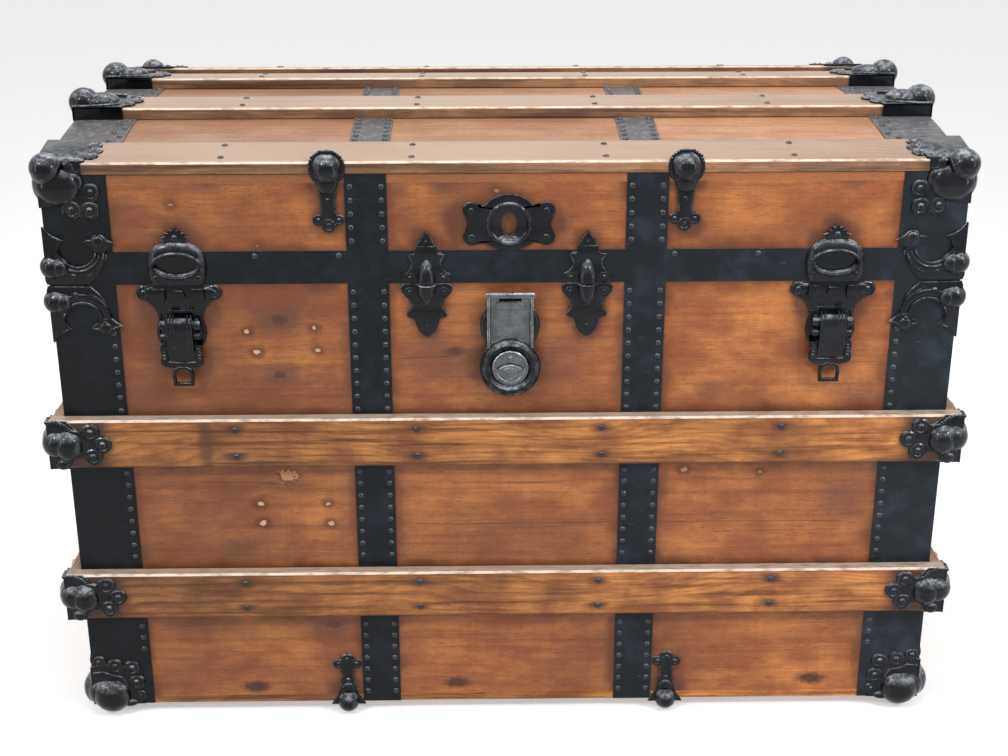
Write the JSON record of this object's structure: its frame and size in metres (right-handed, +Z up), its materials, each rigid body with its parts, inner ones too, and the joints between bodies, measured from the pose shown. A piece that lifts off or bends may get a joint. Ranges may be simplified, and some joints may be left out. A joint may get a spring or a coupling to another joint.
{
  "type": "dome top trunk",
  "caption": "Slatted dome top trunk in varnished wood with black metal bands, ball-cornered castings, a hinged lid, a swinging hasp lock, draw latches and leather handles",
  "frame": {"origin": "middle of the footprint on the floor, under the runners", "axes": "+X to the right of someone facing the lock, along the trunk's length; +Y towards the hinges at the back, so the lock faces -Y; +Z up"},
  "size_m": [0.932, 0.5494, 0.6246],
  "materials": {
    "pine": "varnished, aged orange-brown",
    "slat_wood": "varnished, strong grain",
    "floor_wood": "bare and worn",
    "lining": "matte, paper or cloth lining",
    "black_bands": "worn semi-gloss blue-black enamel",
    "black_castings": "gloss blue-black enamel",
    "grey_steel": "dull, pitted",
    "hinge_steel": "semi-gloss black",
    "leather": "dark brown, waxed"
  },
  "bodies": {
    "case": {"bottom_runners": "floor_wood", "bottom_board": "floor_wood", "lower_front_board": "pine", "upper_front_board": "pine", "back_boards": "pine", "left_end_boards": "pine", "right_end_boards": "pine", "body_lining": "lining", "body_corner_bands": "black_bands", "body_middle_bands": "black_bands", "front_slats": "slat_wood", "back_slats": "slat_wood", "end_slats": "slat_wood", "slat_corner_castings": "black_castings", "bottom_corner_castings": "black_castings", "body_meeting_castings": "black_castings", "bottom_edge_clamps": "black_castings", "hinge_body_leaves": "hinge_steel", "hinge_pins": "hinge_steel", "lock_back_plate": "black_castings", "latch_base_plates": "black_castings", "latch_pins": "hinge_steel", "dowel_sockets": "black_castings", "right_handle_strap": "leather", "left_handle_strap": "leather", "handle_caps": "black_castings"},
    "lid": {"lid_front_board": "pine", "lid_back_board": "pine", "lid_right_end": "pine", "lid_left_end": "pine", "lid_top_boards": "pine", "lid_lining": "lining", "valance_band": "black_bands", "lid_corner_bands": "black_bands", "lid_end_bands": "black_bands", "lid_middle_bands": "black_bands", "lid_slats": "slat_wood", "lid_corner_castings": "black_castings", "lid_slat_end_castings": "black_castings", "lid_meeting_castings": "black_castings", "lid_edge_clamps": "black_castings", "hinge_lid_leaves": "hinge_steel", "lock_socket_plate": "black_castings", "latch_keepers": "black_castings", "dowel_pins": "black_castings"},
    "hasp": {"lock_hasp": "grey_steel"},
    "lock_tongue": {"lock_tongue": "grey_steel"},
    "left_latch": {"left_latch": "black_castings"},
    "right_latch": {"right_latch": "black_castings"}
  },
  "joints": [
    {"name": "lid_hinge", "type": "hinge", "parent": "case", "child": "lid", "pos_m": [0, 0.2585, 0.471], "axis": [-1, 0, 0], "range_deg": [0, 100]},
    {"name": "hasp_hinge", "type": "hinge", "parent": "case", "child": "hasp", "pos_m": [0.003, -0.2615, 0.4585], "axis": [-1, 0, 0], "range_deg": [0, 180]},
    {"name": "lock_turn", "type": "hinge", "parent": "hasp", "child": "lock_tongue", "pos_m": [0.003, -0.2615, 0.389], "axis": [0, -1, 0], "range_deg": [0, 90]},
    {"name": "left_latch_hinge", "type": "hinge", "parent": "case", "child": "left_latch", "pos_m": [-0.31, -0.262, 0.433], "axis": [-1, 0, 0], "range_deg": [0, 175]},
    {"name": "right_latch_hinge", "type": "hinge", "parent": "case", "child": "right_latch", "pos_m": [0.31, -0.262, 0.433], "axis": [-1, 0, 0], "range_deg": [0, 175]}
  ]
}
